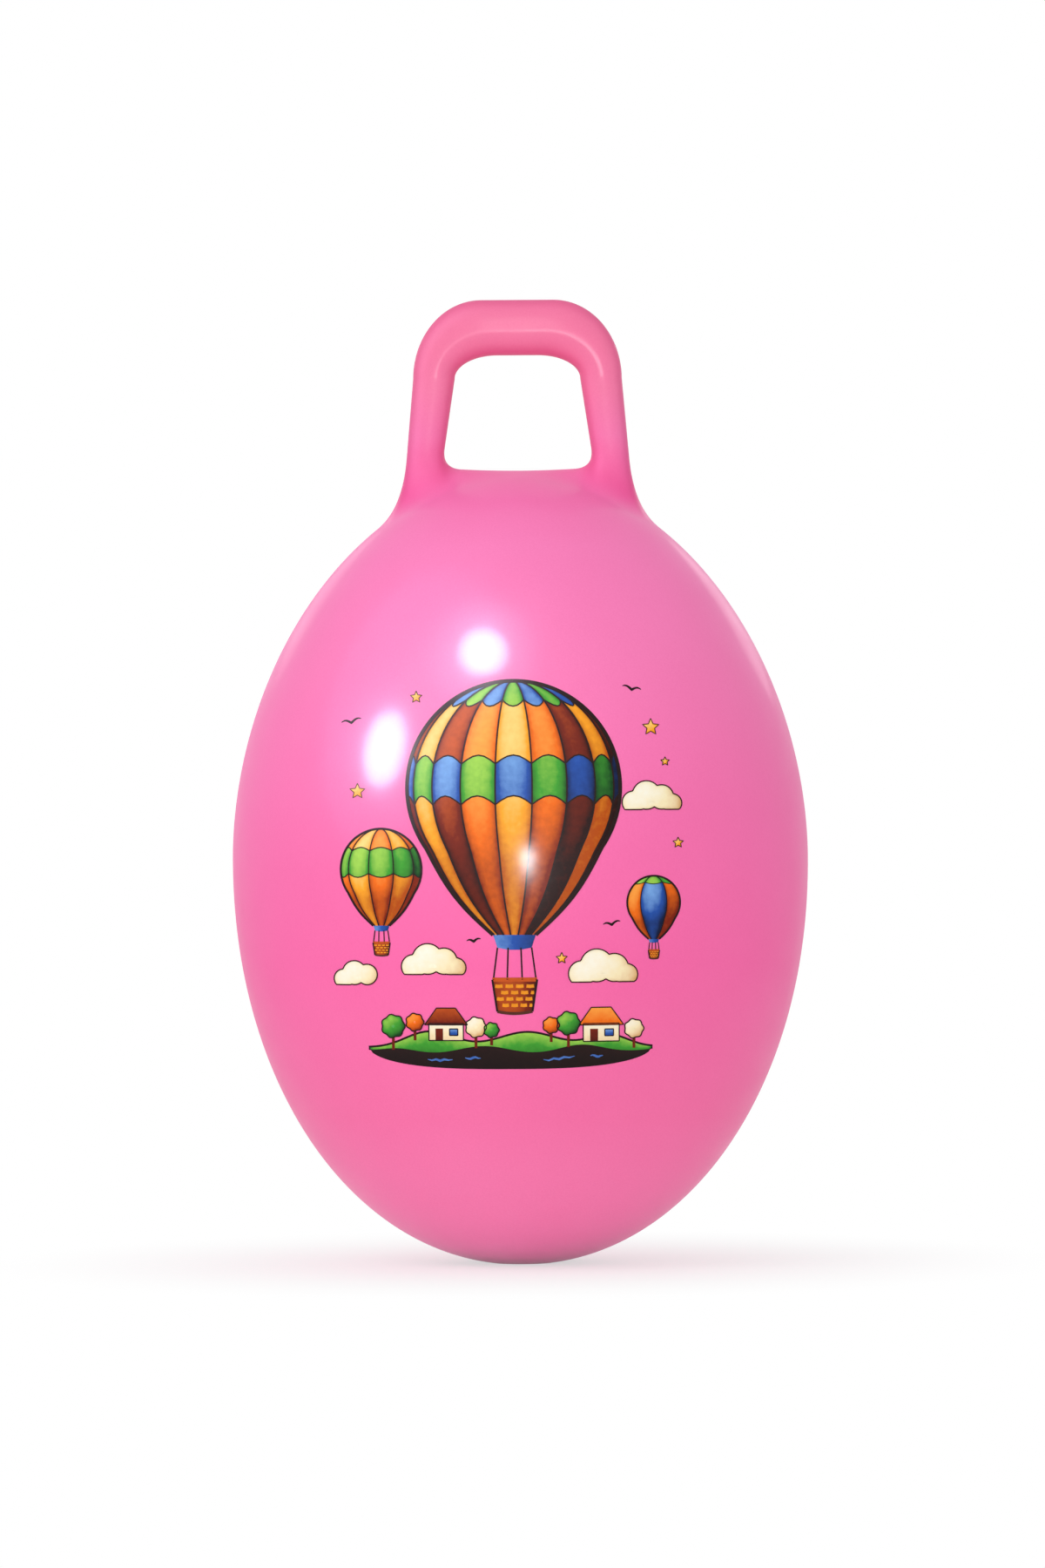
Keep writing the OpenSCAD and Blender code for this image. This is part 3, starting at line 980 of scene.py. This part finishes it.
def cottage(x, z, wide, roof):
    """A small plain house with one door and one window."""
    half = wall = wide / 2

    def upright(left, right, low, high):
        return [(x + half * across, z + wall * up) for up in (low, high) for across in (left, right)]

    front = upright(-1, 1, 0, 1)
    top = upright(-1.25, 1.25, 0.92, 1)[:2] + upright(-0.55, 0.55, 0, 1.9)[2:]
    pane = upright(0.2, 0.68, 0.3, 0.68)
    patch("cream", front, (0.35, 0.75), 2)
    patch(roof, top, (0.45, 0.85), 3)
    patch("brown", upright(-0.62, -0.18, 0, 0.7), (0.2, 0.5), 3)
    patch("blue", pane, (0.35, 0.8), 3)
    for corners in (front, top, pane):
        outlined(corners, 0.7, 4)


def tree(x, z, size, ink):
    """A small tree with a round crown."""
    stroke([[x, z - size * 0.3], [x, z + size * 0.5], [x, z + size]], 1.8, 2, ink="brown")
    middle = np.array([x, z + size * 1.5])
    turn = ring_of(48)
    reach = size * 0.86 * (1 + 0.06 * np.cos(7 * turn))
    crown = middle + aims(turn) * reach[:, None]
    blob(ink, middle, crown, 3, 0.1, 0.95, 0.35, (0.8, 4, 0.35), 6)


# The strip of land: its ends, how far it hangs below them, its hills by place, width and height,
# and the ends of the gleams on its dark front
LAND_X = (-98.0, 84.0)
LAND_Z = 148.0
LAND_HANG = 14
LAND_COLUMNS = 72
BACK_HILLS = ((-62, 24, 13), (4, 26, 10), (60, 20, 12))
FRONT_HILLS = ((-84, 18, 6), (-24, 24, 6), (40, 22, 7))
GLEAMS = ((-60, -44), (-36, -26), (14, 34), (44, 52))

# Cottages by place, width and the ink of the roof, and trees by place, size and ink
COTTAGES = ((-48, 22, "brown"), (51, 23, "orange"))
TREES = ((-82, 8.5, "green"), (-68, 6.5, "orange"), (-29, 7.5, "cream"), (-19, 5.5, "green"),
         (19, 6.0, "orange"), (30, 8.5, "green"), (72, 7.0, "cream"))


def land_lines():
    """Places along the strip, and the heights of its foot and of its two tops there."""
    x = np.linspace(*LAND_X, LAND_COLUMNS)
    swell = 1 - np.abs(2 * (x - LAND_X[0]) / (LAND_X[1] - LAND_X[0]) - 1) ** 3
    foot = LAND_Z - LAND_HANG * np.sqrt(np.maximum(swell, 0))
    back = LAND_Z + swell * hill_line(x, BACK_HILLS)
    front = LAND_Z - 2 + swell * (hill_line(x, FRONT_HILLS) - 3)
    return x, foot, back, front


def land():
    """The land, dark in front, with cottages and trees on it."""
    x, foot, back, front = land_lines()
    rows = np.linspace(0, 1, 6)[:, None]
    for ink, top, layer, low, high in (("green", back, 0, 0.1, 0.85), ("line", front, 1, 0.15, 0.45)):
        places = np.stack(np.broadcast_arrays(x, mix(foot, top, rows)), -1)
        sheets[ink].lay(places, mix(low, high, rows**1.5), layer)
    stroke(np.stack([x, back], -1), 1.3, 1.5, 0.3)
    for ends in GLEAMS:
        at = np.linspace(*ends, 7)
        level = np.interp(at, x, (front + foot) / 2) + 0.5 * np.sin(at)
        width = 1.5 * np.sin(np.pi * np.linspace(0.08, 0.92, 7))
        stroke(np.stack([at, level], -1), width, 2, 0.6, "blue")
    for at, wide, roof in COTTAGES:
        cottage(at, np.interp(at, x, back) - 4, wide, roof)
    for at, size, ink in TREES:
        tree(at, np.interp(at, x, back) - 2, size, ink)


# Places in the picture: stars with their reach, birds with their span and tilt, and clouds with
# their lobes, by place and radius, and their scale
STARS = ((-104, 312, 5.2), (-66, 372, 4.0), (84, 352, 5.6), (101, 278, 3.6), (26, 205, 3.8),
         (93, 330, 3.0))
BIRDS = ((-108, 356, 13, 1.2), (72, 376, 12, -1.2), (58, 226, 11, 1.0), (-30, 216, 9, 0.6))
LOBES = ((-0.9, 0.0, 0.55), (-0.25, 0.35, 0.7), (0.5, 0.25, 0.6), (1.05, -0.05, 0.45))
CLOUDS = ((-56, 200, LOBES, 14), (84, 304, LOBES, 13), (52, 195, LOBES[::-1], 15),
          (-104, 192, LOBES[:3], 11))


def draw_picture():
    warm = "brown yellow brown orange yellow orange brown yellow brown".split()
    big = Balloon(-4, 314, 68, warm)
    big.band(["green", "blue"], 0.0, 0.19, 0.0, 0.03, 0.9)
    big.band(["blue", "green"], 0.42, 0.54, -0.026, -0.026, 0.9)
    big.draw(1.0, 2.4)
    middle = Balloon(-89, 262, 26, ["orange", "yellow", "orange", "yellow", "orange"])
    middle.band(["green"], 0.34, 0.52, -0.03, 0.03, 0.7)
    middle.draw(0.7, 1.4)
    small = Balloon(85, 240, 17, ["orange", "blue", "orange"])
    small.band(["green"], 0.0, 0.22, 0.0, 0.03, 0.5)
    small.draw(0.6, 1.2)
    for thing, places in ((cloud, CLOUDS), (star, STARS), (bird, BIRDS)):
        for place in places:
            thing(*place)
    land()


def print_on_skin():
    """Lays each ink on the front of the ball, as a thin layer that follows the skin."""
    for ink, sheet in sheets.items():
        flat, lift = np.concatenate(sheet.places), np.concatenate(sheet.lifts)
        x, z = flat.T
        points = np.stack([x, -np.sqrt(skin_r(z) ** 2 - x**2), z], -1)
        normals = skin_normal(points)
        piece = closed_piece("print_" + ink, points + normals * lift[:, None], normals,
                             np.concatenate(sheet.faces), INK_T, shade=np.concatenate(sheet.shades))
        give(piece, ink_finish("ink_" + ink, *INKS[ink]))
        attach(piece, "ball")


# The view and the light

# The camera: how far off it stands, the height it sees there, its picture's middle, and its roll
VIEW_DISTANCE = 5.0
VIEW_HEIGHT = 1.0364
VIEW_CENTRE = (0.0017, 0.3161)
VIEW_ROLL = math.radians(0.35)
SENSOR = 36.0
CAMERA_AT = (VIEW_CENTRE[0], -VIEW_DISTANCE, VIEW_CENTRE[1])


def make_camera():
    data = bpy.data.cameras.new("camera")
    data.sensor_width = SENSOR
    data.lens = SENSOR * VIEW_DISTANCE / VIEW_HEIGHT
    camera = placed("camera", data)
    camera.location = CAMERA_AT
    camera.rotation_euler = (math.pi / 2, VIEW_ROLL, 0)
    bpy.context.scene.camera = camera


def mirror_ray(across, up):
    """The place on the skin seen at a place of the picture, and where it mirrors the view to."""
    camera = np.array(CAMERA_AT) / MM
    aim = unit(np.array([across, 0, up]) - camera)
    y = 0.0
    for _ in range(SETTLE_ROUNDS):
        place = camera + aim * (y - camera[1]) / aim[1]
        y = -math.sqrt(max(float(skin_r(place[2])) ** 2 - place[0] ** 2, 0))
    normal = skin_normal(place)
    return place * MM, aim - 2 * (aim @ normal) * normal


def lamp(name, place, aim, size, level, colour=(1, 1, 1), height=None, spread=180):
    """A round soft lamp, aimed along a direction. Its level is how bright it looks from straight
    ahead, and its spread the angle that it shines into."""
    data = bpy.data.lights.new(name, "AREA")
    data.shape = "ELLIPSE"
    data.size = size
    data.size_y = height or size
    data.spread = math.radians(spread)
    narrowed = 1 - data.spread / 2 / math.tan(data.spread / 2)
    data.energy = level * math.pi * math.pi * data.size * data.size_y / 4 * narrowed
    data.color = colour
    light = placed(name, data)
    light.location = place
    light.rotation_euler = Vector(aim).to_track_quat("-Z", "Y").to_euler()
    light.visible_camera = False
    return light


def mirrored_lamp(name, across, up, distance, size, level, colour=(1, 1, 1)):
    """A soft lamp that stands where the skin mirrors it at a place of the picture."""
    place, away = mirror_ray(across, up)
    return lamp(name, place + away * distance, -away, size, level, colour)


WHITE = (1, 1, 1, 1)
SKY_LEVEL = 0.71


def make_world():
    """A plain room, which lights with SKY_LEVEL and is seen as white."""
    world = bpy.data.worlds.new("room")
    bpy.context.scene.world = world
    world.use_nodes = True
    nodes = Nodes(world.node_tree)
    nodes.tree.nodes.clear()
    room = nodes.add("Background", {"Color": WHITE, "Strength": SKY_LEVEL})
    white = nodes.add("Background", {"Color": WHITE, "Strength": 1.0})
    nodes.add("OutputWorld", {"Surface": nodes.mixed(nodes.seen(), room, white)})


FLOOR_R = 9.0
FLOOR_STEPS = 96
FLOOR_TONE = (0.92, 0.92, 0.92, 1)
SHADOW_SHARE = 0.4
SHADOW_REACH = (0.08, 0.38)


def make_floor():
    """A pale floor, white but for a part of the object's shadow."""
    mesh = bpy.data.meshes.new("floor")
    rim = np.c_[FLOOR_R * aims(ring_of(FLOOR_STEPS)), np.zeros(FLOOR_STEPS)]
    mesh.from_pydata(rim.tolist(), [], [list(range(FLOOR_STEPS))])
    floor = placed("floor", mesh)
    finish = Finish("pale_floor")
    finish.shade(Base_Color=FLOOR_TONE, Roughness=0.9, Specular_IOR_Level=0.0)
    white = finish.add("Emission", {"Color": WHITE, "Strength": 1.0})
    away = finish.add("VectorMath", {0: finish.place()}, operation="LENGTH").outputs["Value"]
    share = finish.spread(away, *SHADOW_REACH, 1 - SHADOW_SHARE, 1.0, True)
    both = finish.mixed(finish.sums("MULTIPLY", finish.seen(), share), finish.shader, white)
    finish.set(finish.tree.nodes["Material Output"].inputs["Surface"], both)
    give(floor, finish.material)


# Lamps that stand where the skin mirrors them: place in the picture, distance, size and level
KEY = (-56, 374, 2.6, 1.6, 2.1)
FILL = (5, 267, 6.0, 0.6, 86)
SHEEN = (-20, 300, 2.5, 4.6, 1.1)
FRONT_GLINT = (4.6, 267, 6.0, 0.6, 150)

# Lamps by their place, direction, size and level
SIDE_LAMP = ((-2.6, -1.3, 0.9), (2.6, 1.3, -0.6), 1.6, 0.45)
BACK_LAMP = ((0, 3.0, 0.5), (0, -3.0, -0.2), 1.8, 2.6)

# The haze round the glints: lamps of several sizes in one place, so that it fades
HAZE_AT = (-76, 378, 2.5)
HAZE_SIZES = (1.4, 2.2, 2.9, 3.6)
HAZE_LEVEL = 4.1
HAZE = (0.62, 0.66, 1.0)

# The pale rims: which way the lamp of each is, its level, and how far it is raised
RIMS = (((-0.42, 0.88, 0.20), 1.4, 0.62), ((0.42, 0.88, 0.20), 2.2, 0.54))
RIM_DISTANCE = 2.5
RIM_W = 0.9
RIM_H = 0.6

# Small lamps near the skin make the glints: place in the picture, width, height, and how many times
# larger the faint lamp of the halo is. A like pair of glints stands behind.
GLINTS = ((-24, 403.5, 0.084, 0.064, 2.5), (-89, 340, 0.077, 0.092, 1.4))
GLINT_NEAR = 0.16
GLINT_SPREAD = 48
GLINT_LEVEL = 120
HALO_NEAR = 0.17
HALO_LEVEL = 19
HALO = (0.82, 0.78, 1.0)
FRONT_AND_BACK = np.array([[1, 1, 1], [-1, -1, 1]])

# The glint on the bar: its place across, and down as a share of the bar, the way to its lamp, and
# the lamp's width, height and level
BAR_GLINT = (0.001, 0.44, (0, -1, 0.14), 0.06, 0.10, 30)


def haze_and_rims():
    yield mirrored_lamp("sheen_front", *SHEEN)
    for size in HAZE_SIZES:
        yield mirrored_lamp("sheen_high", *HAZE_AT, size, HAZE_LEVEL, HAZE)
    for direction, level, rise in RIMS:
        behind = Vector(direction) * RIM_DISTANCE
        raised = behind + Vector((0, 0, rise))
        yield lamp("sheen_rim", raised, -behind, RIM_W, level, height=RIM_H)


def glints():
    for across, up, size, height, halo in GLINTS:
        place, away = mirror_ray(across, up)
        for turned in FRONT_AND_BACK:
            yield lamp("glint", (place + away * GLINT_NEAR) * turned, -away * turned,
                       size, GLINT_LEVEL, height=height, spread=GLINT_SPREAD)
        yield lamp("halo", place + away * HALO_NEAR, -away, size * halo, HALO_LEVEL,
                   HALO, height * halo, GLINT_SPREAD)
    yield mirrored_lamp("glint_front", *FRONT_GLINT)
    x, down, way, width, height, level = BAR_GLINT
    place = Vector((x, -BAR_DEPTH / 2 * MM, (LOOP_TOP_Z - BAR_T * down) * MM))
    away = Vector(way)
    yield lamp("glint_bar", place + away * GLINT_NEAR, -away, width, level,
               height=height, spread=GLINT_SPREAD)


def light_scene():
    """Plain soft light, and lamps that only the gloss sees."""
    bpy.context.scene.view_settings.view_transform = "Standard"
    make_world()
    make_floor()
    mirrored_lamp("soft_key", *KEY)
    mirrored_lamp("soft_fill", *FILL)
    lamp("soft_side", *SIDE_LAMP)
    lamp("soft_back", *BACK_LAMP).visible_glossy = False
    for light in (*haze_and_rims(), *glints()):
        light.visible_diffuse = False


# The object


def make_skin():
    points, normals, faces, is_ball, wall, tones = moulded_skin()
    holed = cut_valve_hole(points, normals, faces[is_ball])
    material = skin_finish()
    ball = closed_piece("ball_skin", *holed, wall, **tones)
    handle = closed_piece("handle_skin", points, normals, faces[~is_ball], wall, **tones)
    for piece, node in ((ball, "ball_shell"), (handle, "handle")):
        give(piece, material)
        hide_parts(node)
        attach(piece, "ball")


# The weld round the collar: how far outside it and how high over the skin, from the collar out
WELD = ((-0.12, 0.75), (-0.02, 0.5), (0.2, 0.26), (0.6, 0.12), (1.2, 0.05), (1.9, 0.02))
WELD_T = 0.04
WELD_COLUMNS = 96


def make_weld(material):
    across, up = aims(ring_of(WELD_COLUMNS)).T
    rings = [near_valve((COLLAR_R + out) * across, (COLLAR_R + out) * up, height)
             for out, height in WELD]
    points = np.concatenate(rings)
    faces = grid_faces(len(WELD), WELD_COLUMNS, 0, True)
    weld = closed_piece("valve_weld", points, vertex_normals(points, faces), faces, WELD_T)
    give(weld, material)
    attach(weld, "ball")


def make_valve():
    """The finish of the CAD's own seat and plug, and the weld round the collar."""
    seat = valve_finish("soft_pvc_seat", *SEAT)
    give(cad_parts["valve_seat"], seat)
    give(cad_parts["valve_plug"], valve_finish("hard_white_plug", *PLUG))
    make_weld(seat)


make_camera()
light_scene()
make_skin()
make_valve()
draw_picture()
print_on_skin()
